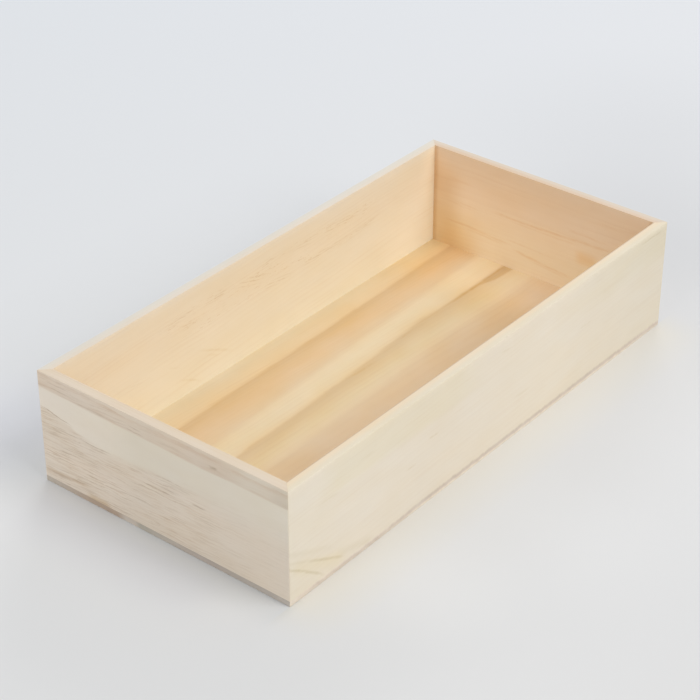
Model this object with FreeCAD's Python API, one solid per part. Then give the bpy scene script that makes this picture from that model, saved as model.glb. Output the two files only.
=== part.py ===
import FreeCAD, Part
import math
import os

# Shallow open box of pine. Four walls of one height are mitred at the corners and
# stand on a thin bottom board that is flush with their outer faces. Brads driven
# from below through the bottom board into the walls hold it on.
#
# Frame: millimetres, +X along the long walls, +Z up, and the origin at the centre
# of the underside, on the surface that the box stands on.

# ---- driving dimensions ----
outer_length = 400.0            # along X, over the end walls
outer_width = 200.0             # along Y, over the long walls
wall_height = 78.0              # from the bottom board to the rim
wall_thickness = 7.0
bottom_thickness = 4.0
outer_arris_radius = 0.6        # sanded edges all round the outside
inner_arris_radius = 0.4        # sanded edge of the rim on the inside

brad_length = 18.0              # head to point
brad_shank_diameter = 1.2
brad_head_diameter = 2.0
brad_head_height = 0.8
brad_point_length = 2.2
brad_point_diameter = 0.2       # blunt tip
brad_set_depth = 0.6            # how far a head is punched in past the underside
brad_corner_distance = 22.0     # from an outer corner to the first brad
brad_largest_pitch = 60.0       # between two brads of one row

# ---- worked out from the driving dimensions ----
rim_height = bottom_thickness + wall_height
inner_length = outer_length - 2 * wall_thickness
inner_width = outer_width - 2 * wall_thickness
upward = FreeCAD.Vector(0, 0, 1)


def rectangle_corners(length, width, height):
    """The four corners of a level rectangle round the Z axis, anticlockwise from -X -Y."""
    half_length = length / 2
    half_width = width / 2
    signs = [(-1, -1), (1, -1), (1, 1), (-1, 1)]
    return [FreeCAD.Vector(sx * half_length, sy * half_width, height) for sx, sy in signs]


def outer_form():
    """The whole outside of the box as one block with its sanded edges."""
    low_corner = FreeCAD.Vector(-outer_length / 2, -outer_width / 2, 0)
    block = Part.makeBox(outer_length, outer_width, rim_height, low_corner)
    return block.makeFillet(outer_arris_radius, block.Edges)


def edge_at(shape, middle):
    """The edge of a shape whose middle lies at the given point."""
    return min(shape.Edges, key=lambda edge: edge.CenterOfMass.distanceToPoint(middle))


def mitred_wall(side, form):
    """One wall, cut at 45 degrees at both ends: side 0 is front, then anticlockwise."""
    outer = rectangle_corners(outer_length, outer_width, bottom_thickness)
    inner = rectangle_corners(inner_length, inner_width, bottom_thickness)
    following = (side + 1) % len(outer)
    plan = [outer[side], outer[following], inner[following], inner[side], outer[side]]
    wall = Part.Face(Part.makePolygon(plan)).extrude(upward * wall_height)
    inner_middle = (inner[side] + inner[following]) * 0.5 + upward * wall_height
    wall = wall.makeFillet(inner_arris_radius, [edge_at(wall, inner_middle)])
    return wall.common(form)


def bottom_board(form):
    """The board under the walls, as long and as wide as the box."""
    low_corner = FreeCAD.Vector(-outer_length / 2, -outer_width / 2, 0)
    board = Part.makeBox(outer_length, outer_width, bottom_thickness, low_corner)
    return board.common(form)


def row_places(side_length):
    """Places of the brads along one wall, measured from the wall's middle."""
    span = side_length - 2 * brad_corner_distance
    gaps = math.ceil(span / brad_largest_pitch)
    return [span * (place / gaps - 0.5) for place in range(gaps + 1)]


def brad_feet():
    """Points on the underside where the brads go in, under the middle of each wall."""
    row_y = (outer_width - wall_thickness) / 2
    row_x = (outer_length - wall_thickness) / 2
    feet = []
    for direction in (-1, 1):
        for along in row_places(outer_length):
            feet.append(FreeCAD.Vector(along, direction * row_y, 0))
        for along in row_places(outer_width):
            feet.append(FreeCAD.Vector(direction * row_x, along, 0))
    return feet


def brad(foot):
    """One brad with its head down: a head, a shank and a blunt point."""
    head_radius = brad_head_diameter / 2
    shank_radius = brad_shank_diameter / 2
    head_foot = foot + upward * brad_set_depth
    shank_length = brad_length - brad_point_length
    point_foot = head_foot + upward * shank_length
    head = Part.makeCylinder(head_radius, brad_head_height, head_foot, upward)
    shank = Part.makeCylinder(shank_radius, shank_length, head_foot, upward)
    point = Part.makeCone(shank_radius, brad_point_diameter / 2, brad_point_length, point_foot, upward)
    return head.fuse([shank, point]).removeSplitter()


def punch_mark(foot):
    """The short hole below a brad's head, left by the nail punch."""
    return Part.makeCylinder(brad_head_diameter / 2, brad_set_depth, foot, upward)


def build():
    """Every sub-part by its node name."""
    form = outer_form()
    feet = brad_feet()
    brads = Part.makeCompound([brad(foot) for foot in feet])
    punch_marks = Part.makeCompound([punch_mark(foot) for foot in feet])
    sides = ["front_wall", "right_end_wall", "back_wall", "left_end_wall"]
    parts = {name: mitred_wall(side, form).cut(brads) for side, name in enumerate(sides)}
    parts["bottom_board"] = bottom_board(form).cut([brads, punch_marks])
    parts["bottom_brads"] = brads
    return parts


os.makedirs("parts", exist_ok=True)
for name, shape in build().items():
    shape.exportStep(os.path.join("parts", name + ".step"))
    print(name, "solids:", len(shape.Solids), "valid:", shape.isValid(), "volume:", round(shape.Volume, 1))
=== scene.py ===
import math

import bpy
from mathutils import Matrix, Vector


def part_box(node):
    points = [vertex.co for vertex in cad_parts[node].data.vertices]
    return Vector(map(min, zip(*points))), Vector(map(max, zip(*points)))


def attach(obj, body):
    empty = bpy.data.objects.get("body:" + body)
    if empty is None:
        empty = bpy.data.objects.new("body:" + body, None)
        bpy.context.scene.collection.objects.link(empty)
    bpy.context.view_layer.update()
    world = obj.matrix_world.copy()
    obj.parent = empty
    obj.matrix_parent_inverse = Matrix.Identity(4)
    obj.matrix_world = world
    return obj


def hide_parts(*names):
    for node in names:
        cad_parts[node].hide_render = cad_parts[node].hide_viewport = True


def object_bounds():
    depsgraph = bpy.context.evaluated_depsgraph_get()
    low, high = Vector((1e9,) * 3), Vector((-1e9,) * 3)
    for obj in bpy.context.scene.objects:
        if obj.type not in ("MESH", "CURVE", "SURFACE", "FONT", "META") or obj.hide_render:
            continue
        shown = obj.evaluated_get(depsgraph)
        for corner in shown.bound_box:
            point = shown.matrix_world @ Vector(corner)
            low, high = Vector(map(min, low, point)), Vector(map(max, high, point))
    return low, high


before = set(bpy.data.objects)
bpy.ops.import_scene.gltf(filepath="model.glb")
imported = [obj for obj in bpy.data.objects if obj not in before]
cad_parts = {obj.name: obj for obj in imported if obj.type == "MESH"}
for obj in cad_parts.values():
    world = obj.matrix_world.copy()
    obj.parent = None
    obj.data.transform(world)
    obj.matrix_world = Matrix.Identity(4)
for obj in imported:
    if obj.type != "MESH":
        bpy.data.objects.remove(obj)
cad_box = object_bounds()

# Shallow open box of bare pine: four mitred walls on a thin bottom board, held from
# below by brads. All boards are modelled and cut here, each in its own growth figure.
# Metres for places, and millimetres inside the wood figures.

MM = 0.001
UP = Vector((0, 0, 1))

# ---- sizes of the box, from the frame ----
box_high = cad_box[1]
half_length = box_high.x
half_width = box_high.y
rim_height = box_high.z
bottom_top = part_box("bottom_board")[1].z
wall_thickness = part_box("left_end_wall")[1].x + half_length
brad_row_inset = wall_thickness / 2

# ---- sanding and joints ----
outer_arris = 0.6 * MM
inner_arris = 0.4 * MM
glue_line_arris = 0.16 * MM     # along the foot of each wall
mitre_arris = 0.07 * MM         # along the mitres
arris_steps = 5
joint_steps = 2
saw_tolerance = 0.001 * MM      # how close to a cut a corner may lie to count as on it
edge_search = 0.02 * MM         # how close to a given place an edge's middle lies
cut_search = 0.01 * MM          # how close to a mitre's plane its corners lie
smooth_angle = math.radians(35)  # flatter edges than this are shaded round

# ---- punch marks over the brads ----
brad_corner_distance = 22 * MM
brad_gaps_long = 6
brad_gaps_end = 3
punch_mark_radius = 1.0 * MM
punch_mark_depth = 0.6 * MM
punch_mark_sides = 24


# ======== modelling ========

def deselect_all():
    if bpy.context.object and bpy.context.object.mode != "OBJECT":
        bpy.ops.object.mode_set(mode="OBJECT")
    bpy.ops.object.select_all(action="DESELECT")


def work_on(piece):
    """Makes one piece the selected and active one."""
    deselect_all()
    piece.select_set(True)
    bpy.context.view_layer.objects.active = piece


def blank(name, low, high):
    """A sawn board between two corners, with its place in its mesh."""
    deselect_all()
    bpy.ops.mesh.primitive_cube_add(size=1, location=(low + high) / 2, scale=high - low)
    piece = bpy.context.object
    piece.name = name
    piece.data.name = name
    bpy.ops.object.transform_apply(location=True, rotation=True, scale=True)
    return piece


def select_edges(piece, wanted):
    """Goes into edit mode with those edges selected whose two ends are wanted together."""
    work_on(piece)
    bpy.context.tool_settings.mesh_select_mode = (False, True, False)
    bpy.ops.object.mode_set(mode="EDIT")
    bpy.ops.mesh.select_all(action="DESELECT")
    bpy.ops.object.mode_set(mode="OBJECT")
    corners = piece.data.vertices
    for edge in piece.data.edges:
        first, second = edge.vertices
        edge.select = wanted(corners[first].co, corners[second].co)
    bpy.ops.object.mode_set(mode="EDIT")


def select_all_of(piece):
    """Goes into edit mode with the whole piece selected."""
    work_on(piece)
    bpy.ops.object.mode_set(mode="EDIT")
    bpy.ops.mesh.select_all(action="SELECT")


def round_edges(piece, middles, radius, steps):
    """Rounds the edges whose middles lie at the given places."""
    def wanted(first, second):
        middle = (first + second) / 2
        return any((middle - place).length < edge_search for place in middles)

    select_edges(piece, wanted)
    bpy.ops.mesh.bevel(offset=radius, offset_type="OFFSET", segments=steps, profile=0.5, affect="EDGES")
    bpy.ops.object.mode_set(mode="OBJECT")


def saw_off(piece, place, direction):
    """Cuts the piece at a plane and drops what lies beyond it. The cut is closed."""
    select_all_of(piece)
    bpy.ops.mesh.bisect(
        plane_co=place,
        plane_no=direction,
        use_fill=True,
        clear_outer=True,
        threshold=saw_tolerance,
    )
    bpy.ops.object.mode_set(mode="OBJECT")


def merge_doubles(piece):
    """Joins corners that a cut or a rounding left in the same place."""
    select_all_of(piece)
    bpy.ops.mesh.remove_doubles(threshold=2 * saw_tolerance)
    bpy.ops.object.mode_set(mode="OBJECT")


def shade_arrises(piece):
    """Smooth shading on the rounded edges, while the flat faces stay flat."""
    work_on(piece)
    bpy.ops.object.shade_smooth_by_angle(angle=smooth_angle)
    bpy.ops.object.modifier_add(type="WEIGHTED_NORMAL")
    piece.modifiers[-1].keep_sharp = True
    bpy.ops.object.modifier_apply(modifier=piece.modifiers[-1].name)


def break_mitre(piece, place, direction):
    """Takes the sharpness off the edges round a mitre face, all but the one on the bottom board."""
    facing = direction.normalized()

    def on_cut(corner):
        return abs((corner - place).dot(facing)) < cut_search

    def wanted(first, second):
        return on_cut(first) and on_cut(second) and max(first.z, second.z) > bottom_top + 1 * MM

    select_edges(piece, wanted)
    bpy.ops.mesh.bevel(offset=mitre_arris, offset_type="OFFSET", segments=1, affect="EDGES")
    bpy.ops.object.mode_set(mode="OBJECT")


def mitred_wall(name, outward, along, reach_out, reach_along):
    """One wall, rounded on its outside and along its rim, then cut at 45 degrees at both ends."""
    outer_face = outward * reach_out
    inner_face = outward * (reach_out - wall_thickness)
    corner_1 = outer_face - along * reach_along
    corner_2 = inner_face + along * reach_along
    low = Vector((min(corner_1.x, corner_2.x), min(corner_1.y, corner_2.y), bottom_top))
    high = Vector((max(corner_1.x, corner_2.x), max(corner_1.y, corner_2.y), rim_height))
    piece = blank(name, low, high)

    wall_middle = outward * (reach_out - wall_thickness / 2)
    middle_height = UP * (bottom_top + rim_height) / 2
    rim = UP * rim_height
    foot = UP * bottom_top
    outer_edges = [outer_face + rim]
    for side in (-1, 1):
        end = along * side * reach_along
        outer_edges.append(outer_face + end + middle_height)
        outer_edges.append(wall_middle + end + rim)
    round_edges(piece, outer_edges, outer_arris, arris_steps)
    round_edges(piece, [inner_face + rim], inner_arris, arris_steps)
    round_edges(piece, [outer_face + foot], glue_line_arris, joint_steps)
    for side in (-1, 1):
        corner = outer_face + along * side * reach_along
        saw_off(piece, corner, along * side - outward)
        break_mitre(piece, corner, along * side - outward)
    merge_doubles(piece)
    shade_arrises(piece)
    return piece


def row_places(side_length, gaps):
    """Places of the brads along one wall, measured from the wall's middle."""
    span = side_length - 2 * brad_corner_distance
    return [span * (place / gaps - 0.5) for place in range(gaps + 1)]


def brad_places():
    """Points on the underside, one below each brad."""
    places = []
    for direction in (-1, 1):
        for along in row_places(2 * half_length, brad_gaps_long):
            places.append(Vector((along, direction * (half_width - brad_row_inset), 0)))
        for along in row_places(2 * half_width, brad_gaps_end):
            places.append(Vector((direction * (half_length - brad_row_inset), along, 0)))
    return places


def punch(piece):
    """Sinks a round punch mark into the underside below each brad."""
    deselect_all()
    punches = []
    for place in brad_places():
        bpy.ops.mesh.primitive_cylinder_add(
            vertices=punch_mark_sides,
            radius=punch_mark_radius,
            depth=2 * punch_mark_depth,
            location=place,
        )
        punches.append(bpy.context.object)
    for tool in punches:
        tool.select_set(True)
    bpy.ops.object.join()
    tools = bpy.context.object
    tools.name = "punch_tools"
    work_on(piece)
    bpy.ops.object.modifier_add(type="BOOLEAN")
    cut = piece.modifiers[-1]
    cut.operation = "DIFFERENCE"
    cut.solver = "EXACT"
    cut.object = tools
    bpy.ops.object.modifier_apply(modifier=cut.name)
    work_on(tools)
    bpy.ops.object.delete()


def bottom_board(name):
    """The board under the walls, with rounded outer edges and the punch marks of its brads."""
    low = Vector((-half_length, -half_width, 0))
    high = Vector((half_length, half_width, bottom_top))
    piece = blank(name, low, high)
    outer_edges = []
    top_edges = []
    corners = []
    for side in (-1, 1):
        for place in (Vector((side * half_length, 0, 0)), Vector((0, side * half_width, 0))):
            outer_edges.append(place)
            top_edges.append(place + UP * bottom_top)
        for other in (-1, 1):
            corners.append(Vector((side * half_length, other * half_width, bottom_top / 2)))
    round_edges(piece, outer_edges + corners, outer_arris, arris_steps)
    round_edges(piece, top_edges, glue_line_arris, joint_steps)
    punch(piece)
    shade_arrises(piece)
    return piece


# ======== materials ========

def shade(red, green, blue):
    """A colour from its screen values of 0 to 255."""
    values = []
    for value in (red, green, blue):
        part = value / 255
        values.append(part / 12.92 if part <= 0.04045 else ((part + 0.055) / 1.055) ** 2.4)
    return (*values, 1.0)


class Finish:
    """One node material, built up step by step."""

    def __init__(self, name):
        self.material = bpy.data.materials.new(name)
        self.material.use_nodes = True
        self.nodes = self.material.node_tree.nodes
        self.links = self.material.node_tree.links
        self.shader = self.nodes["Principled BSDF"]

    def add(self, kind, **settings):
        node = self.nodes.new("ShaderNode" + kind)
        for key, value in settings.items():
            setattr(node, key, value)
        return node

    def feed(self, socket, value):
        if isinstance(value, bpy.types.NodeSocket):
            self.links.new(value, socket)
        else:
            socket.default_value = value

    def math(self, operation, first, second=0.0, third=0.0, clamp=False):
        node = self.add("Math", operation=operation, use_clamp=clamp)
        for socket, value in zip(node.inputs, (first, second, third)):
            self.feed(socket, value)
        return node.outputs[0]

    def times(self, first, second):
        return self.math("MULTIPLY", first, second)

    def times_plus(self, first, second, added):
        return self.math("MULTIPLY_ADD", first, second, added)

    def minus(self, first, second):
        return self.math("SUBTRACT", first, second)

    def mapped(self, value, low, high, out_low=0.0, out_high=1.0, smooth=False):
        """Takes the run from low to high to the run from out_low to out_high, and stops at both ends."""
        kind = "SMOOTHSTEP" if smooth else "LINEAR"
        node = self.add("MapRange", interpolation_type=kind, clamp=True)
        for socket, item in zip(node.inputs, (value, low, high, out_low, out_high)):
            self.feed(socket, item)
        return node.outputs[0]

    def eased(self, value, low, high, out_low=0.0, out_high=1.0):
        """As mapped, but with a soft start and a soft end."""
        return self.mapped(value, low, high, out_low, out_high, smooth=True)

    def vector(self, across, along, up):
        node = self.add("CombineXYZ")
        for socket, value in zip(node.inputs, (across, along, up)):
            self.feed(socket, value)
        return node.outputs[0]

    def stretched(self, place, factors):
        node = self.add("VectorMath", operation="MULTIPLY")
        self.feed(node.inputs[0], place)
        node.inputs[1].default_value = factors
        return node.outputs[0]

    def noise(self, place, swells=None, detail=2.0, roughness=0.5):
        """Soft noise from -1 to 1. swells is how many it has per unit along x, y and z."""
        if swells:
            place = self.stretched(place, swells)
        node = self.add("TexNoise", noise_dimensions="3D")
        self.feed(node.inputs["Vector"], place)
        node.inputs["Scale"].default_value = 1.0
        node.inputs["Detail"].default_value = detail
        node.inputs["Roughness"].default_value = roughness
        return self.times_plus(node.outputs["Fac"], 2.0, -1.0)

    def ramp(self, value, stops):
        """A colour for each value, from stops of (value, colour) in rising order."""
        first, last = stops[0][0], stops[-1][0]
        node = self.add("ValToRGB")
        ramp = node.color_ramp
        ramp.interpolation = "LINEAR"
        while len(ramp.elements) < len(stops):
            ramp.elements.new(1.0)
        for element, (at, colour) in zip(ramp.elements, stops):
            element.position = (at - first) / (last - first)
            element.color = colour
        self.feed(node.inputs[0], self.mapped(value, first, last))
        return node.outputs["Color"]

    def tones(self, value, stops):
        """A colour for each value, from stops of (value, red, green, blue) in screen values."""
        return self.ramp(value, [(at, shade(*colour)) for at, *colour in stops])

    def curve(self, value, points):
        """A number for each value, along straight runs between points of (value, number)."""
        lowest = min(number for at, number in points)
        highest = max(number for at, number in points)
        reach = (highest - lowest) or 1.0
        stops = []
        for at, number in points:
            grey = (number - lowest) / reach
            stops.append((at, (grey, grey, grey, 1.0)))
        return self.times_plus(self.ramp(value, stops), reach, lowest)

    def mixed(self, amount, first, second, blend="MIX"):
        node = self.add("Mix", data_type="RGBA", blend_type=blend, clamp_factor=True)
        self.feed(node.inputs[0], amount)
        self.feed(node.inputs[6], first)
        self.feed(node.inputs[7], second)
        return node.outputs[2]

    def stained(self, colour, amount, stain):
        return self.mixed(amount, colour, stain, blend="MULTIPLY")

    def shaded(self, colour, brightness, saturation=1.0):
        node = self.add("HueSaturation")
        self.feed(node.inputs["Color"], colour)
        self.feed(node.inputs["Value"], brightness)
        self.feed(node.inputs["Saturation"], saturation)
        return node.outputs["Color"]

    def parts(self, place):
        node = self.add("SeparateXYZ")
        self.feed(node.inputs[0], place)
        return node.outputs

    def bump(self, height, strength, depth):
        node = self.add("Bump")
        node.inputs["Strength"].default_value = strength
        node.inputs["Distance"].default_value = depth
        self.feed(node.inputs["Height"], height)
        self.feed(self.shader.inputs["Normal"], node.outputs["Normal"])

    def lifted(self, place, height):
        """The place, moved up by a height."""
        node = self.add("VectorMath", operation="ADD")
        self.feed(node.inputs[0], place)
        self.feed(node.inputs[1], self.vector(0.0, 0.0, height))
        return node.outputs[0]

    def less(self, amount, factor=1.0):
        """What is left of 1 after an amount is taken off it."""
        return self.times_plus(amount, -factor, 1.0)

    def between(self, value, low, high, soft_low, soft_high):
        """1 between two values, with a soft start and a soft end."""
        rise = self.eased(value, low, low + soft_low)
        fall = self.eased(value, high - soft_high, high, 1.0, 0.0)
        return self.times(rise, fall)


# ---- parts of every wood figure ----

def grain_place(finish, turned=False):
    """Place in millimetres with x along the grain. turned is for boards whose grain runs along Y."""
    mapping = finish.add("Mapping")
    finish.feed(mapping.inputs["Vector"], finish.add("TexCoord").outputs["Object"])
    mapping.inputs["Scale"].default_value = (1 / MM, 1 / MM, 1 / MM)
    mapping.inputs["Rotation"].default_value = (0, 0, math.radians(-90) if turned else 0)
    return mapping.outputs[0]


def growth_rings(wood, place, pith, lean, spacing, wander=2.0):
    """Dark late wood of each ring, 0 to 1, round a pith line that leans along the grain."""
    along, through, across = wood.parts(place)
    sway = wood.noise(place, (0.011, 0.02, 0.02), detail=1.0)
    ripple = wood.noise(place, (0.035, 0.05, 0.05), detail=1.0)
    off_through = wood.minus(through, wood.times_plus(along, lean[0], pith[0]))
    off_across = wood.minus(across, wood.times_plus(along, lean[1], pith[1]))
    square = wood.times(off_through, off_through)
    radius = wood.math("SQRT", wood.times_plus(off_across, off_across, square))
    radius = wood.times_plus(sway, wander, radius)
    radius = wood.times_plus(ripple, wander * 0.2, radius)
    uneven = wood.noise(wood.vector(wood.times(radius, 0.16), 0.0, 0.0), detail=1.0)
    count = wood.times_plus(uneven, 1.2, wood.math("DIVIDE", radius, spacing))
    part = wood.math("FRACT", count)
    late = wood.times(wood.eased(part, 0.30, 0.90), wood.mapped(part, 0.90, 1.00, 1.0, 0.0))
    each = wood.add("TexWhiteNoise", noise_dimensions="1D")
    wood.feed(each.inputs["W"], wood.math("FLOOR", count))
    return wood.times(late, wood.mapped(each.outputs["Value"], 0.0, 1.0, 0.35, 1.0))


def fibres(wood, place):
    """Fine streaks along the grain, from -1 to 1."""
    broad = wood.noise(place, (0.010, 0.55, 0.55), detail=3.0, roughness=0.6)
    fine = wood.noise(place, (0.025, 2.4, 2.4))
    return wood.times_plus(fine, 0.5, wood.times(broad, 0.6))


def resin_dashes(wood, place, amount):
    """Short thin dark dashes where resin ducts are cut open, 0 to 1."""
    cells = wood.noise(place, (0.085, 1.7, 1.7), detail=1.0)
    crowd = wood.noise(place, (0.012, 0.035, 0.035), detail=1.0)
    level = wood.times_plus(crowd, 0.22, cells)
    return wood.eased(level, 0.62 - amount, 0.80 - amount)


def edge_wear(wood):
    """How near a place is to a sanded arris of the box, 0 to 1. Outside edges and the rim's inner edge."""
    source = wood.add("TexCoord").outputs["Object"]
    x, y, z = wood.parts(source)
    to_end = wood.minus(half_length, wood.math("ABSOLUTE", x))
    to_side = wood.minus(half_width, wood.math("ABSOLUTE", y))
    to_rim = wood.minus(rim_height, z)
    nearest = wood.math("MINIMUM", to_end, to_side)
    farther = wood.math("MAXIMUM", to_end, to_side)
    outer = wood.math("MAXIMUM", nearest, wood.math("MINIMUM", farther, to_rim))
    to_inside = wood.math("ABSOLUTE", wood.minus(nearest, wall_thickness))
    inner = wood.math("MAXIMUM", to_inside, to_rim)
    distance = wood.math("MINIMUM", outer, inner)
    patch = wood.noise(source, (60, 60, 60))
    reach = wood.times_plus(patch, 0.5 * MM, 1.3 * MM)
    return wood.math("SUBTRACT", 1.0, wood.math("DIVIDE", distance, reach), clamp=True)


def corner_nearness(wood, reach):
    """How near a place inside is to an upright corner, 1 in the corner and 0 from reach millimetres on."""
    source = wood.add("TexCoord").outputs["Object"]
    x, y = wood.parts(source)[:2]
    to_end = wood.minus(half_length - wall_thickness, wood.math("ABSOLUTE", x))
    to_side = wood.minus(half_width - wall_thickness, wood.math("ABSOLUTE", y))
    inside = wood.math("GREATER_THAN", wood.math("MINIMUM", to_end, to_side), -0.05 * MM)
    apart = wood.math("MAXIMUM", wood.math("ABSOLUTE", to_end), wood.math("ABSOLUTE", to_side))
    smear = wood.noise(source, (90, 90, 60))
    apart = wood.times_plus(smear, -0.5 * MM, apart)
    near = wood.eased(apart, reach * 0.3 * MM, reach * MM, 1.0, 0.0)
    return wood.times(near, inside)


def upward_share(wood):
    """1 on faces that point up and 0 on upright ones."""
    return wood.mapped(wood.parts(wood.add("TexCoord").outputs["Normal"])[2], 0.45, 0.95)


def pencil(wood, along, across, start, end, half_width_mm, bow, soft, wave):
    """One growth line from start to end, each (along, across) in millimetres, 0 to 1.
    bow is how far its middle stands out, soft the length of its faint ends."""
    share = wood.mapped(along, start[0], end[0])
    centre = wood.times_plus(share, end[1] - start[1], start[1])
    if bow:
        belly = wood.times(share, wood.less(share))
        centre = wood.times_plus(belly, 4 * bow, centre)
    apart = wood.minus(across, centre)
    apart = wood.math("ABSOLUTE", wood.times_plus(wave, 1.4, apart))
    line = wood.eased(apart, 0.0, half_width_mm, 1.0, 0.0)
    return wood.times(line, wood.between(along, start[0], end[0], soft, soft))


def pencils(wood, place, lines, gaps):
    """Several growth lines together. Each is (start, end, strength, half width, bow).
    gaps is how much of them is broken into short dashes."""
    parts = wood.parts(place)
    along, across = parts[0], parts[2]
    wave = wood.noise(place, (0.07, 0.3, 0.3), detail=3.0, roughness=0.6)
    total = None
    for start, end, strength, half_width_mm, bow in lines:
        soft = min(12.0, (end[0] - start[0]) * 0.4)
        line = pencil(wood, along, across, start, end, half_width_mm, bow, soft, wave)
        line = wood.times(line, strength)
        total = line if total is None else wood.math("MAXIMUM", total, line)
    patches = wood.noise(place, (0.16, 0.5, 0.5), detail=3.0, roughness=0.65)
    shown = wood.eased(patches, -0.30, 0.20, 1.0 - gaps, 1.0)
    return wood.times(total, shown)


def with_lines(wood, place, colour, lines, stain, gaps=0.0):
    """The colour with growth lines stained into it."""
    return wood.stained(colour, pencils(wood, place, lines, gaps), stain)


def joint_line(wood, place):
    """Glue-darkened, slightly ragged line where a long wall stands on the bottom board, 0 to 1.
    It runs lower and fainter next to the left corner."""
    parts = wood.parts(place)
    along, height = parts[0], parts[2]
    centre = wood.curve(along, [(-200, 1.4), (-112, 1.7), (-78, 3.2), (130, 3.2), (200, 2.2)])
    ragged = wood.noise(place, (0.15, 0.15, 0.0), detail=4.0, roughness=0.65)
    apart = wood.minus(height, centre)
    apart = wood.math("ABSOLUTE", wood.times_plus(ragged, 2.2, apart))
    line = wood.eased(apart, 0.2, 2.8, 1.0, 0.0)
    strength = wood.noise(place, (0.07, 0.07, 0.0), detail=3.0, roughness=0.6)
    line = wood.times(line, wood.mapped(strength, -0.4, 0.3, 0.55, 1.0))
    return wood.times(line, wood.eased(along, -200, -170, 0.4, 1.0))


def wavy_dashes(wood, place):
    """Fine short dark lines along the grain, a little wavy and close together, 0 to 1."""
    cells = wood.noise(place, (0.04, 1.0, 1.0), detail=2.5, roughness=0.6)
    lines = wood.eased(cells, -0.08, 0.36)
    crowd = wood.noise(place, (0.035, 0.11, 0.11))
    return wood.times(lines, wood.eased(crowd, -0.35, 0.30, 0.45, 1.0))


def short_dashes(wood, place):
    """Very short fine dark dashes along the grain, 0 to 1."""
    cells = wood.noise(place, (0.20, 1.35, 1.35), roughness=0.6)
    return wood.eased(cells, 0.10, 0.42)


def rim_tones(wood, share, outer, second, third, inner):
    """Tones across a rim, from its outer edge to its inner edge."""
    stops = [(0.0, *outer), (0.30, *second), (0.70, *third), (0.86, *third), (1.0, *inner)]
    return wood.tones(share, stops)


LATE_WOOD = shade(219, 186, 146)
RESIN = shade(168, 128, 88)
# A dark line in the inside upright corners, partly the mitre joint and partly painted shade.
SEAM_AND_CORNER_SHADE = shade(242, 235, 225)
GLUE = shade(224, 219, 219)
# Painted shade for the arris facets that face the light, to dull their highlight.
ARRIS_PAINTED_SHADE = shade(249, 249, 249)
WORN_EDGE = shade(243, 229, 200)

wear_share = 0.11
drift_light = 0.018
mottle_light = 0.026
tint_strength = 0.16
mottle_greying = -0.06
bare_roughness = 0.60
fibre_roughness = 0.05
ring_polish = -0.07
wear_polish = -0.08
bare_gloss = 0.32
ring_height = 0.5
dash_height = -0.8
bump_strength = 0.6
bump_depth = 0.04 * MM


def wood_surface(
    wood, place, colour, rings, ring_strength, fibre_strength, dash_amount, dash_strength, rim=None
):
    """Adds to a board's tones what all the boards share, and connects the shader."""
    upward = upward_share(wood)
    streaks = fibres(wood, place)
    slow = wood.noise(place, (0.007, 0.028, 0.028))
    mottle = wood.noise(place, (0.03, 0.09, 0.09), detail=3.0)
    dashes = resin_dashes(wood, place, dash_amount)
    if rim is not None:
        colour = wood.mixed(upward, colour, rim)
        rings = wood.times(rings, wood.less(upward, 0.65))
    colour = wood.stained(colour, wood.times(rings, ring_strength), LATE_WOOD)
    brightness = wood.times_plus(streaks, fibre_strength, 1.0)
    brightness = wood.times_plus(slow, drift_light, brightness)
    brightness = wood.times_plus(mottle, mottle_light, brightness)
    tint = wood.noise(place, (0.022, 0.05, 0.05))
    saturation = wood.times_plus(tint, tint_strength, 1.0)
    saturation = wood.times_plus(mottle, mottle_greying, saturation)
    colour = wood.shaded(colour, brightness, saturation)
    colour = wood.stained(colour, wood.times(dashes, dash_strength), RESIN)
    wear = edge_wear(wood)
    colour = wood.mixed(wood.times(wear, wear_share), colour, WORN_EDGE)
    # Painted shade on the rounded arrises, strongest on facets halfway between up and upright.
    lit_arris_share = wood.times(wood.times(upward, wood.less(upward)), 4.0)
    colour = wood.stained(colour, lit_arris_share, ARRIS_PAINTED_SHADE)
    wood.feed(wood.shader.inputs["Base Color"], colour)

    roughness = wood.times_plus(streaks, fibre_roughness, bare_roughness)
    roughness = wood.times_plus(rings, ring_polish, roughness)
    roughness = wood.times_plus(wear, wear_polish, roughness)
    wood.feed(wood.shader.inputs["Roughness"], roughness)
    wood.shader.inputs["Specular IOR Level"].default_value = bare_gloss

    height = wood.times_plus(rings, ring_height, streaks)
    wood.bump(wood.times_plus(dashes, dash_height, height), bump_strength, bump_depth)
    return wood.material


# ---- the five boards ----
# share is 0 on a wall's outer face and 1 on its inner face.

outer_x = round(half_length / MM, 3)
outer_y = round(half_width / MM, 3)
rim_z = round(rim_height / MM, 3)
inner_x = round((half_length - wall_thickness) / MM, 3)
inner_y = round((half_width - wall_thickness) / MM, 3)


def broken(wood, place, rings, low=-0.35, high=0.45, scale=(0.022, 0.09, 0.09)):
    """Rings that come and go along the board."""
    patches = wood.noise(place, scale, detail=3.0, roughness=0.6)
    return wood.times(rings, wood.eased(patches, low, high, 0.15, 1.0))


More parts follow.
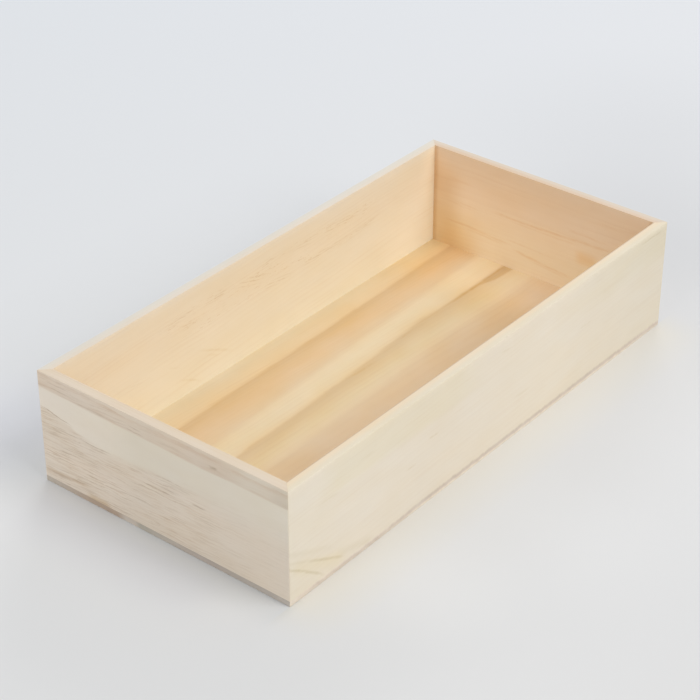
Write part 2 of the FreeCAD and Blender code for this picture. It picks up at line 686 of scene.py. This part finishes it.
def front_wall_pine():
    wood = Finish("front_wall_pine")
    place = grain_place(wood)
    along, through, across = wood.parts(place)
    rings = growth_rings(wood, place, pith=(-52, -48), lean=(0.02, 0.035), spacing=3.4)
    outer = wood.tones(along, [
        (-200, 232, 221, 201), (-150, 233, 222, 204), (-60, 232, 220, 201), (60, 234, 222, 202),
        (110, 231, 219, 199), (200, 227, 216, 196),
    ])
    upper_zone = wood.times(
        wood.between(along, -180, -5, 30.0, 40.0),
        wood.between(across, 54, 84, 8.0, 1.0),
    )
    outer = wood.stained(outer, wood.times(upper_zone, 0.6), shade(252, 251, 239))
    right_zone = wood.times(wood.eased(along, 50, 190), wood.eased(across, 50, 66))
    outer = wood.stained(outer, right_zone, shade(251, 251, 246))
    top_strip = wood.eased(across, 76.5, 81, 1.0, 1.022)
    outer = wood.shaded(outer, top_strip)
    right_arris = wood.times(wood.eased(along, 150, 172), wood.eased(across, 79.0, 80.6))
    outer = wood.shaded(outer, wood.times_plus(right_arris, 0.035, 1.0))
    low_corner = [((-202, 27), (-146, 5), 1.0, 9.0, 0.0)]
    outer = with_lines(wood, place, outer, low_corner, shade(254, 252, 244))
    cathedral = [
        ((-210, 36), (-176, 21), 0.35, 1.9, -0.4),
        ((-188, 26), (-146, 6), 0.95, 1.9, -0.6),
        ((-210, 33), (-165, 2), 0.95, 1.9, 1.2),
        ((-208, 41.5), (-158, 20), 0.35, 4.0, -1.0),
        ((-162, 14), (-120, 4), 0.45, 5.0, 0.0),
    ]
    outer = with_lines(wood, place, outer, cathedral, shade(240, 237, 226), gaps=0.3)
    flecks = [
        ((164, 78.4), (198, 78.0), 0.75, 1.2, 0.0),
        ((-92, 36.2), (-80, 35.6), 0.6, 1.2, 0.0),
        ((-70, 47.4), (-58, 46.8), 0.6, 1.2, 0.0),
        ((4, 72.2), (17, 71.6), 0.4, 1.2, 0.0),
        ((92, 46.8), (114, 45.8), 0.4, 1.2, 0.0),
        ((-180, 58.0), (-150, 56.5), 0.3, 1.6, 0.0),
        ((-140, 68.0), (-118, 67.5), 0.25, 1.4, 0.0),
        ((20, 30.0), (44, 29.0), 0.25, 1.4, 0.0),
    ]
    outer = with_lines(wood, place, outer, flecks, shade(236, 229, 212), gaps=0.7)
    outer = wood.stained(outer, joint_line(wood, place), GLUE)
    share = wood.mapped(through, -outer_y, -inner_y)
    colour = wood.mixed(share, outer, shade(240, 223, 197))
    rings = broken(wood, place, rings)
    rim = rim_tones(wood, share, (231, 219, 195), (233, 219, 194), (237, 218, 189), (198, 168, 136))
    return wood_surface(
        wood, place, colour, rings, rim=rim,
        ring_strength=0.10, fibre_strength=0.015, dash_amount=0.0, dash_strength=0.10,
    )


def back_wall_pine():
    wood = Finish("back_wall_pine")
    place = grain_place(wood)
    along, through, across = wood.parts(place)
    rings = growth_rings(wood, place, pith=(150, -30), lean=(-0.03, 0.02), spacing=3.0)
    inner = wood.tones(across, [
        (4, 245, 235, 211), (40, 244, 232, 208), (58, 242, 227, 201), (76, 241, 227, 202),
        (82, 241, 230, 211),
    ])
    # Painted light: the inner face is made lighter and warmer towards the right corner, more so low down.
    painted_light_right = wood.times(wood.eased(along, 118, 193), wood.mapped(across, 4, 72, 0.88, 0.0))
    inner = wood.mixed(painted_light_right, inner, shade(255, 248, 231))
    # Painted light on the inner face close to the corner, lifting the shade that falls there.
    corner_light = wood.times(wood.eased(along, 172, 190), wood.mapped(across, 4, 50, 0.3, 1.0))
    inner = wood.shaded(inner, wood.times_plus(corner_light, 0.09, 1.0))
    rows = [
        ((-95, 64.4), (-68, 63.6), 1.0),
        ((-55, 64.2), (-36, 63.6), 0.8),
        ((-26, 64.6), (6, 56.0), 1.0),
        ((0, 51.0), (31, 46.0), 0.8),
        ((33, 66.0), (62, 64.6), 0.8),
        ((64, 66.4), (106, 62.6), 0.8),
        ((45, 49.4), (88, 48.8), 0.9),
        ((104, 50.6), (126, 51.4), 0.9),
        ((-132, 36.0), (-116, 34.0), 0.4),
        ((138, 58.0), (160, 60.0), 0.3),
    ]
    dashes = []
    for start, end, strength in rows:
        for offset, part in ((-1.7, 0.5), (0.0, 1.0), (1.5, 0.6)):
            first = (start[0] + 3 * offset, start[1] + offset)
            last = (end[0] + 3 * offset, end[1] + offset)
            dashes.append((first, last, strength * part * 0.7, 0.6, 0.0))
    inner = with_lines(wood, place, inner, dashes, shade(231, 219, 199), gaps=0.9)
    crowded = wood.times(
        wood.between(along, -104, 134, 16.0, 16.0),
        wood.between(across, 44, 71, 8.0, 4.0),
    )
    crowd = wood.noise(place, (0.03, 0.12, 0.12), detail=3.0, roughness=0.6)
    crowded = wood.times(crowded, wood.eased(crowd, -0.25, 0.35))
    fine = wood.times(short_dashes(wood, place), crowded)
    inner = wood.stained(inner, fine, shade(236, 224, 205))
    waves = [
        ((-85, 18.5), (-62, 7), 0.7, 1.7, 0.4),
        ((-68, 33), (-29, 14.5), 0.65, 1.8, 0.8),
        ((-95, 33), (-82, 27), 0.4, 1.5, 0.0),
        ((-60, 25.5), (-40, 16.5), 0.4, 1.7, 0.3),
    ]
    inner = with_lines(wood, place, inner, waves, shade(246, 241, 230), gaps=0.5)
    share = wood.mapped(through, outer_y, inner_y)
    colour = wood.mixed(share, shade(233, 226, 212), inner)
    rings = broken(wood, place, rings)
    rim = rim_tones(wood, share, (226, 220, 211), (226, 219, 206), (230, 218, 201), (231, 217, 200))
    return wood_surface(
        wood, place, colour, rings, rim=rim,
        ring_strength=0.13, fibre_strength=0.014, dash_amount=0.03, dash_strength=0.14,
    )


def right_end_pine():
    wood = Finish("right_end_pine")
    place = grain_place(wood, turned=True)
    along, through, across = wood.parts(place)
    rings = growth_rings(wood, place, pith=(-150, 96), lean=(0.02, -0.03), spacing=3.2)
    inner = wood.tones(across, [
        (4, 253, 233, 202), (22, 252, 232, 202), (40, 251, 229, 201), (54, 247, 222, 194),
        (66, 243, 217, 188), (82, 240, 214, 186),
    ])
    # Painted shade towards the back inside corner: warmer and darker low down, darker along the corner
    # higher up.
    corner_foot_shade = wood.times(
        wood.between(along, 42, 98, 26.0, 30.0),
        wood.eased(across, 4, 44, 1.0, 0.0),
    )
    inner = wood.stained(inner, corner_foot_shade, shade(248, 238, 217))
    corner_side_shade = wood.times(wood.eased(along, 62, 82), wood.eased(across, 50, 76, 1.0, 0.0))
    inner = wood.stained(inner, corner_side_shade, shade(243, 233, 217))
    knot_side = wood.times(
        wood.between(along, -54, -30, 8.0, 8.0),
        wood.between(across, 26, 42, 7.0, 7.0),
    )
    inner = wood.stained(inner, knot_side, shade(252, 242, 226))
    lines = [
        ((-62, 52), (-22, 53), 0.8, 1.5, 0.0),
        ((-68, 48), (42, 45), 1.0, 1.7, -1.0),
        ((-60, 46.2), (-4, 45.6), 0.7, 1.3, 0.0),
        ((-40, 43.6), (26, 43.0), 0.5, 1.3, -0.6),
        ((50, 42), (78, 43), 0.6, 1.4, 0.0),
        ((46, 39.6), (84, 41), 0.4, 1.3, 0.0),
        ((-32, 15), (24, 21), 1.0, 1.7, -0.5),
        ((-28, 13.4), (12, 17.6), 0.6, 1.3, -0.4),
        ((20, 23), (86, 26), 0.8, 1.6, 0.5),
        ((26, 20.8), (70, 23.6), 0.5, 1.3, 0.4),
        ((-20, 25), (30, 27), 0.5, 1.4, 0.0),
        ((52, 59), (84, 61), 0.35, 1.8, 0.0),
        ((-86, 68), (-44, 66), 0.35, 1.8, 0.0),
    ]
    inner = with_lines(wood, place, inner, lines, shade(247, 238, 225), gaps=0.6)
    # Dark line down the inside corner: partly the mitre joint, partly painted shade.
    inner = wood.stained(inner, corner_nearness(wood, 4.5), SEAM_AND_CORNER_SHADE)
    share = wood.mapped(through, -outer_x, -inner_x)
    colour = wood.mixed(share, shade(232, 221, 206), inner)
    rings = broken(wood, place, rings)
    rim = rim_tones(wood, share, (221, 206, 186), (223, 208, 190), (224, 199, 173), (216, 186, 157))
    return wood_surface(
        wood, place, colour, rings, rim=rim,
        ring_strength=0.12, fibre_strength=0.012, dash_amount=0.0, dash_strength=0.12,
    )


def left_end_pine():
    """A browner straight strip along the rim, a pale one below it, and fine close rings under that."""
    wood = Finish("left_end_pine")
    place = grain_place(wood, turned=True)
    along, through, across = wood.parts(place)
    from_corner = wood.minus(outer_y, along)
    depth = wood.minus(rim_z, across)
    ripple = wood.noise(place, (0.075, 0.3, 0.3), detail=4.0, roughness=0.65)
    strip_depth = wood.times_plus(ripple, 0.5, depth)
    depth = wood.times_plus(ripple, 1.0, depth)
    wavy_place = wood.lifted(place, wood.times(ripple, 1.6))
    leaning_place = wood.lifted(wavy_place, wood.times(along, 0.06))
    rings = growth_rings(wood, wavy_place, pith=(165, 63.5), lean=(0.0, 0.01), spacing=1.75, wander=2.2)

    rim_strip = wood.curve(from_corner, [
        (0, 11.2), (26, 11.3), (45, 12.0), (100, 12.2), (132, 13.1), (158, 12.4), (200, 12.5),
    ])
    below_strip = wood.minus(strip_depth, rim_strip)
    in_strip = wood.eased(below_strip, -0.9, 0.9, 1.0, 0.0)
    pale_foot = wood.curve(from_corner, [
        (0, 25.8), (12, 27.4), (24, 30.4), (34, 33.6), (46, 36.4),
        (60, 37.2), (74, 36.4), (90, 34.6), (120, 34.0), (200, 34.0),
    ])
    softness = wood.curve(from_corner, [
        (0, 1.2), (30, 1.4), (45, 3.0), (90, 3.0), (130, 8.0), (200, 18.0),
    ])
    below_pale = wood.math("DIVIDE", wood.minus(depth, pale_foot), softness)
    in_low = wood.eased(below_pale, -1.0, 1.0)

    pale = wood.tones(from_corner, [
        (0, 243, 231, 215), (30, 241, 229, 212), (60, 239, 227, 208), (80, 233, 222, 203),
        (150, 233, 222, 204), (200, 234, 224, 206),
    ])
    low = wood.tones(depth, [
        (26, 235, 221, 203), (50, 234, 219, 200), (57, 239, 224, 206), (66, 237, 223, 205),
        (78, 237, 222, 204),
    ])
    low = wood.mixed(wood.eased(from_corner, 50, 90), low, shade(233, 219, 201))
    strip = wood.tones(from_corner, [
        (0, 230, 213, 194), (60, 229, 213, 194), (85, 226, 210, 190), (120, 226, 209, 189),
        (150, 223, 206, 186), (170, 226, 213, 194), (184, 225, 212, 193), (192, 220, 207, 189),
        (200, 218, 206, 187),
    ])
    strip = wood.shaded(strip, wood.mapped(depth, 2, 10, 1.045, 1.0))
    colour = wood.mixed(in_low, pale, low)
    colour = wood.mixed(in_strip, colour, strip)
    border = [
        ((40, 43.8), (64, 44.0), 0.5, 0.7, 0.0),
        ((38, 71.2), (70, 71.4), 0.55, 1.0, 0.0),
        ((70, 76.6), (98, 77.0), 0.5, 0.8, 0.0),
        ((68, 73.4), (96, 73.8), 0.5, 0.7, 0.0),
        ((10, 71.0), (28, 71.4), 0.7, 0.8, 0.0),
        ((12, 73.6), (26, 73.8), 0.5, 0.7, 0.0),
        ((-48, 73.2), (-39, 73.4), 0.9, 1.1, 0.0),
        ((-20, 47.8), (8, 47.4), 0.8, 0.8, 0.0),
        ((-18, 40.2), (18, 41.0), 0.7, 0.8, 0.0),
        ((-14, 37.0), (20, 37.8), 0.8, 0.8, 0.0),
        ((-10, 34.2), (14, 35.0), 0.5, 0.7, 0.0),
        ((-38, 39.4), (-24, 39.6), 0.7, 0.8, 0.0),
        ((20, 29.0), (46, 30.0), 0.5, 0.8, 0.0),
    ]
    colour = with_lines(wood, place, colour, border, shade(214, 203, 190), gaps=0.75)
    edge_lines = [
        ((70, 51.4), (104, 57.0), 1.0, 0.7, 0.4),
        ((36, 45.8), (70, 45.2), 0.8, 0.7, -0.3),
    ]
    colour = with_lines(wood, place, colour, edge_lines, shade(210, 198, 185), gaps=0.45)
    streaks = [
        ((58, 11.4), (104, 9.4), 1.0, 2.0, 0.4),
        ((62, 16.0), (104, 14.4), 0.35, 1.6, 0.3),
        ((56, 20.6), (100, 19.4), 0.25, 1.4, 0.3),
    ]
    colour = with_lines(wood, place, colour, streaks, shade(231, 221, 208), gaps=0.25)
    foot = wood.times(wood.eased(across, 4, 9, 1.0, 0.0), wood.between(along, 41, 66, 8.0, 8.0))
    colour = wood.stained(colour, foot, shade(239, 230, 213))
    lined = wood.math("MAXIMUM", in_low, wood.times(in_strip, 0.5))
    fine = wood.times(wavy_dashes(wood, leaning_place), lined)
    density = wood.curve(from_corner, [
        (0, 1.0), (50, 1.0), (75, 0.8), (120, 0.7), (160, 0.3), (200, 0.18),
    ])
    fine = wood.times(fine, density)
    colour = wood.stained(colour, fine, shade(226, 218, 208))

    fullness = wood.curve(from_corner, [(0, 0.7), (60, 0.6), (125, 0.6), (150, 0.25), (200, 0.12)])
    rings_low = broken(wood, place, rings, -0.25, 0.30, (0.05, 0.16, 0.16))
    rings_low = wood.times(rings_low, fullness)
    rings_low = wood.times(rings_low, wood.math("MAXIMUM", in_low, 0.10))
    rings_strip = broken(wood, place, rings, -0.30, 0.25, (0.045, 0.2, 0.2))
    rings = wood.mixed(in_strip, rings_low, rings_strip)
    share = wood.mapped(through, outer_x, inner_x)
    colour = wood.mixed(share, colour, shade(240, 222, 196))
    # Dark line down the inside corner: partly the mitre joint, partly painted shade.
    colour = wood.stained(colour, wood.times(corner_nearness(wood, 4.5), share), SEAM_AND_CORNER_SHADE)
    rim = rim_tones(wood, share, (228, 211, 189), (228, 211, 190), (228, 210, 186), (226, 208, 183))
    return wood_surface(
        wood, place, colour, rings, rim=rim,
        ring_strength=0.50, fibre_strength=0.016, dash_amount=0.02, dash_strength=0.14,
    )


def bottom_pine():
    """Broad growth bands along the board, darker and browner where the end grain shows."""
    wood = Finish("bottom_pine")
    place = grain_place(wood)
    along, across, height = wood.parts(place)
    from_end = wood.math("ADD", along, inner_x)
    from_back = wood.minus(inner_y, across)
    ripple = wood.noise(place, (0.022, 0.05, 0.05), detail=3.0, roughness=0.55)
    jags = wood.noise(place, (0.09, 0.12, 0.12), detail=3.0, roughness=0.6)
    length_share = wood.math("DIVIDE", from_end, 2 * inner_x)
    guess = wood.times_plus(length_share, 11.0, from_back)
    lean = wood.curve(guess, [
        (-8, 8.4), (30, 8.4), (50, 16.2), (60, 16.2), (72, 11.5), (80, 10.8), (97, 8), (194, 5),
    ])
    band = wood.times_plus(lean, length_share, from_back)
    bend = wood.curve(from_end, [
        (-8, 0), (120, -0.4), (200, -0.2), (225, 0.5), (255, 2.1), (288, 2.6), (310, 1.1), (345, 0.5),
        (394, 0.5),
    ])
    bend = wood.times(bend, wood.eased(band, 58, 70))
    band = wood.math("ADD", band, bend)
    band = wood.times_plus(ripple, 0.8, band)
    band = wood.times_plus(jags, 0.8, band)

    colour = wood.tones(band, [
        (-8, 226, 203, 168), (2, 234, 217, 184), (8, 232, 213, 178), (14, 235, 213, 175),
        (19.5, 238, 214, 174), (22.8, 238, 212, 170), (24.2, 234, 206, 162), (25.8, 226, 194, 148),
        (28.5, 227, 196, 151), (33, 232, 201, 156), (42, 237, 207, 166), (50, 237, 210, 171),
        (55, 237, 212, 175), (57.2, 240, 218, 182), (60, 244, 224, 189), (66, 244, 226, 191),
        (71.5, 243, 222, 184), (73.6, 242, 219, 179), (76.0, 230, 202, 159), (78.5, 229, 202, 160),
        (84, 235, 210, 168), (90, 239, 217, 176), (96, 241, 218, 180), (101, 236, 210, 173),
        (112, 236, 208, 171), (128, 236, 208, 172), (133, 244, 224, 189), (156, 243, 223, 188),
        (162, 228, 202, 160), (176, 235, 213, 177), (194, 233, 220, 198),
    ])
    # Painted warm shade at the far end of the floor, strongest near the back wall, as light bounced in the
    # corner.
    far_end = wood.eased(from_end, 325, 386)
    far_corner_warm_shade = wood.tones(from_back, [
        (-8, 254, 249, 234), (8, 254, 248, 231), (16, 255, 247, 230), (30, 254, 246, 228),
        (44, 254, 250, 243), (60, 254, 252, 248), (72, 255, 255, 255),
    ])
    colour = wood.stained(colour, far_end, far_corner_warm_shade)
    # Painted light at the far end of the floor, away from the back wall, a little lighter and less
    # saturated.
    painted_far_light_share = wood.times(wood.eased(from_end, 322, 362), wood.eased(from_back, 34, 52, 0.35, 1.0))
    painted_far_brightness = wood.times_plus(painted_far_light_share, 0.10, 1.0)
    colour = wood.shaded(colour, painted_far_brightness, wood.less(painted_far_light_share, 0.06))
    colour = wood.stained(colour, wood.between(from_end, 285, 372, 60.0, 32.0), shade(254, 250, 242))
    # Painted light along the foot of the far end wall.
    colour = wood.shaded(colour, wood.eased(from_end, 362, 380, 1.0, 1.045))
    line_spots = [
        ((0, 21.6), (36, 20.8), 0.4, 2.0, 0.0),
        ((60, 25.0), (84, 26.0), 0.5, 1.6, 0.0),
        ((126, 26.0), (196, 27.0), 0.7, 1.5, 0.4),
        ((-106, 20.6), (-84, 20.6), 0.4, 1.6, 0.0),
    ]
    spots_place = wood.vector(along, height, across)
    colour = with_lines(wood, spots_place, colour, line_spots, shade(246, 236, 217), gaps=0.8)
    flame_line = wood.curve(from_end, [(290, 64.8), (350, 66.2), (368, 68.2), (394, 69.4)])
    flame_half = wood.curve(from_end, [(290, 0.2), (352, 1.0), (366, 3.2), (394, 4.2)])
    flame_apart = wood.math("ABSOLUTE", wood.minus(from_back, flame_line))
    flame_apart = wood.minus(wood.times_plus(jags, 1.6, flame_apart), flame_half)
    flame = wood.eased(flame_apart, -1.4, 1.4, 1.0, 0.0)
    flame_strength = wood.curve(from_end, [(300, 0), (326, 0.7), (346, 0.8), (394, 1)])
    flame = wood.times(flame, flame_strength)
    colour = wood.stained(colour, flame, shade(239, 227, 203))

    rings = growth_rings(wood, place, pith=(-40, 70), lean=(-0.05, 0.0), spacing=2.6)
    rings = broken(wood, place, rings)
    normal = wood.parts(wood.add("TexCoord").outputs["Normal"])
    end_grain = wood.mapped(wood.math("ABSOLUTE", normal[0]), 0.5, 0.8)
    patches = wood.noise(place, (0.05, 0.06, 0.25), detail=3.0)
    end_tone = wood.tones(from_back, [
        (-8, 198, 188, 174), (20, 194, 178, 162), (40, 184, 163, 143), (55, 186, 166, 148),
        (62, 210, 198, 184), (70, 210, 198, 184), (74, 188, 181, 167), (86, 190, 181, 168),
        (108, 192, 181, 169), (120, 188, 176, 165), (138, 187, 175, 164), (150, 191, 180, 168),
        (194, 189, 180, 170),
    ])
    end_light = wood.mapped(height, 0.5, 3.2, 1.10, 1.04)
    end_tone = wood.shaded(end_tone, wood.times_plus(patches, 0.16, end_light))
    colour = wood.mixed(end_grain, colour, end_tone)
    side_edge = wood.mapped(wood.math("ABSOLUTE", normal[1]), 0.5, 0.8)
    edge_tone = wood.tones(height, [(0, 243, 231, 213), (2.0, 239, 227, 210), (4.0, 233, 220, 204)])
    edge_tone = wood.stained(edge_tone, joint_line(wood, place), GLUE)
    colour = wood.mixed(side_edge, colour, edge_tone)
    return wood_surface(
        wood, place, colour, rings,
        ring_strength=0.12, fibre_strength=0.014, dash_amount=0.0, dash_strength=0.12,
    )


def brad_steel():
    """Bright drawn wire, dulled in patches and scratched by the nail punch."""
    steel = Finish("brad_steel")
    place = grain_place(steel)
    dull = steel.noise(place, (1.5, 1.5, 0.3), detail=3.0)
    scratches = steel.noise(place, (9.0, 2.0, 0.8))
    colour = steel.mixed(steel.mapped(dull, -0.2, 0.6), shade(196, 197, 200), shade(158, 156, 152))
    steel.feed(steel.shader.inputs["Base Color"], colour)
    steel.shader.inputs["Metallic"].default_value = 1.0
    steel.feed(steel.shader.inputs["Roughness"], steel.mapped(dull, -0.6, 0.8, 0.26, 0.5))
    steel.bump(scratches, strength=0.4, depth=0.02 * MM)
    return steel.material


# ======== the box ========

FRONT = Vector((0, -1, 0))
BACK = Vector((0, 1, 0))
LEFT = Vector((-1, 0, 0))
RIGHT = Vector((1, 0, 0))

front = mitred_wall("front_wall_board", FRONT, RIGHT, half_width, half_length)
front.data.materials.append(front_wall_pine())
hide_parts("front_wall")
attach(front, "root")

back = mitred_wall("back_wall_board", BACK, RIGHT, half_width, half_length)
back.data.materials.append(back_wall_pine())
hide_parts("back_wall")
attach(back, "root")

left_end = mitred_wall("left_end_board", LEFT, BACK, half_length, half_width)
left_end.data.materials.append(left_end_pine())
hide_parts("left_end_wall")
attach(left_end, "root")

right_end = mitred_wall("right_end_board", RIGHT, BACK, half_length, half_width)
right_end.data.materials.append(right_end_pine())
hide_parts("right_end_wall")
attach(right_end, "root")

base = bottom_board("base_board")
base.data.materials.append(bottom_pine())
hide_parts("bottom_board")
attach(base, "root")

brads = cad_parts["bottom_brads"]
brads.data.materials.clear()
brads.data.materials.append(brad_steel())


# ======== floor, light and camera ========

panel_distance = 6.0
panel_size = 2.6
floor_size = 12
room_colour = (0.97, 0.985, 1.0, 1.0)
room_strength = 0.61


def round_spot(finish, along, across, centre, reach):
    """1 at a place on the floor and 0 from reach millimetres on."""
    off_along = finish.minus(along, centre[0])
    off_across = finish.minus(across, centre[1])
    square = finish.times(off_along, off_along)
    apart = finish.math("SQRT", finish.times_plus(off_across, off_across, square))
    return finish.eased(apart, 0.0, reach, 1.0, 0.0)


def studio_floor():
    """A plain floor with painted light and shade: drifting tone, shadow spots, pools of light, warm light
    at the sunny foot of the box, shade beside its shaded end.
    """
    deselect_all()
    bpy.ops.mesh.primitive_plane_add(size=floor_size, location=(0, 0, 0))
    floor = bpy.context.object
    floor.name = "studio_floor"
    card = Finish("floor_card")
    place = grain_place(card)
    along, across = card.parts(place)[:2]
    # Painted uneven light: lighter and bluer towards the far side, a touch darker and cooler on the left.
    towards_far = card.times_plus(along, 0.78, card.times(across, 0.63))
    far = card.mapped(towards_far, -400, 900)
    colour = card.mixed(far, shade(229, 228, 227), shade(232, 234, 238))
    towards_right = card.times_plus(along, 0.63, card.times(across, -0.78))
    right = card.mapped(towards_right, -700, 300)
    colour = card.mixed(right, card.stained(colour, 1.0, shade(252, 254, 255)), colour)
    # Painted shadow and painted pools of light: round spots made darker where change is below 0, lighter
    # above it.
    painted_light_spots = [
        ((280, -55), 190, -0.075),
        ((430, 40), 240, -0.05),
        ((170, -165), 110, -0.045),
        ((-60, -420), 260, -0.05),
        ((-130, -155), 70, 0.05),
        ((-45, -190), 90, 0.03),
    ]
    for centre, reach, change in painted_light_spots:
        spot = round_spot(card, along, across, centre, reach)
        colour = card.shaded(colour, card.times_plus(spot, change, 1.0))
    # Painted warm reflected light on the floor just in front of the box's foot, brighter towards the
    # right.
    before = card.times(card.mapped(across, -140, -104), card.less(card.mapped(across, -100, -99)))
    beside = card.eased(card.math("ABSOLUTE", along), 190, 225, 1.0, 0.0)
    gleam = card.times(before, beside)
    colour = card.stained(colour, gleam, shade(255, 252, 244))
    gleam = card.times(gleam, card.eased(along, -80, 60))
    colour = card.shaded(colour, card.times_plus(gleam, 0.035, 1.0))
    # Painted shade on the floor beside the box's shaded left end.
    shaded_side = card.times(
        card.between(along, -228, -190, 24.0, 2.0),
        card.between(across, -106, 84, 8.0, 60.0),
    )
    shaded_side = card.times(shaded_side, card.mapped(across, -60, 30, 1.0, 0.45))
    colour = card.stained(colour, shaded_side, shade(246, 247, 247))
    dimmed_side = card.times(
        card.between(along, -265, -204, 40.0, 12.0),
        card.between(across, -70, 110, 30.0, 40.0),
    )
    colour = card.stained(colour, dimmed_side, shade(252, 252, 254))
    # Painted cool shade on the floor beside the box's back left corner.
    painted_cool_shade = round_spot(card, along, across, (-165, 160), 80)
    colour = card.mixed(painted_cool_shade, colour, shade(232, 233, 238))
    card.feed(card.shader.inputs["Base Color"], colour)
    card.shader.inputs["Roughness"].default_value = 0.9
    card.shader.inputs["Specular IOR Level"].default_value = 0.1
    floor.data.materials.append(card.material)


def soft_room():
    world = bpy.data.worlds.new("soft_room")
    bpy.context.scene.world = world
    world.use_nodes = True
    back = world.node_tree.nodes["Background"]
    back.inputs["Color"].default_value = room_colour
    back.inputs["Strength"].default_value = room_strength


def soft_panel(name, turn, height, strength):
    """A large soft lamp far off. turn is its direction round the box, 0 in front and 90 to the right."""
    turn, height = math.radians(turn), math.radians(height)
    level = math.cos(height)
    towards = Vector((math.sin(turn) * level, -math.cos(turn) * level, math.sin(height)))
    deselect_all()
    bpy.ops.object.light_add(type="AREA", location=towards * panel_distance)
    lamp = bpy.context.object
    lamp.name = name
    lamp.rotation_euler = (-towards).to_track_quat("-Z", "Y").to_euler()
    lamp.data.shape = "SQUARE"
    lamp.data.size = panel_size
    lamp.data.energy = strength * (math.pi * panel_distance) ** 2


def camera(place, aim, lens):
    deselect_all()
    bpy.ops.object.camera_add(location=place)
    viewer = bpy.context.object
    viewer.name = "viewer"
    viewer.rotation_euler = (Vector(aim) - Vector(place)).to_track_quat("-Z", "Y").to_euler()
    viewer.data.lens = lens
    viewer.data.sensor_width = 36
    viewer.data.clip_start = 0.05
    viewer.data.clip_end = 50
    bpy.context.scene.camera = viewer


studio_floor()
soft_room()
soft_panel("front_panel", turn=18, height=50, strength=0.235)
soft_panel("low_panel", turn=357, height=36, strength=0.18)
soft_panel("far_panel", turn=120, height=20, strength=0.225)
soft_panel("left_panel", turn=270, height=24, strength=0.105)
camera(place=(-0.9075, -0.7148, 0.7688), aim=(-0.0127, 0.0067, 0.0410), lens=107.26)

bpy.context.scene.view_settings.view_transform = "Standard"
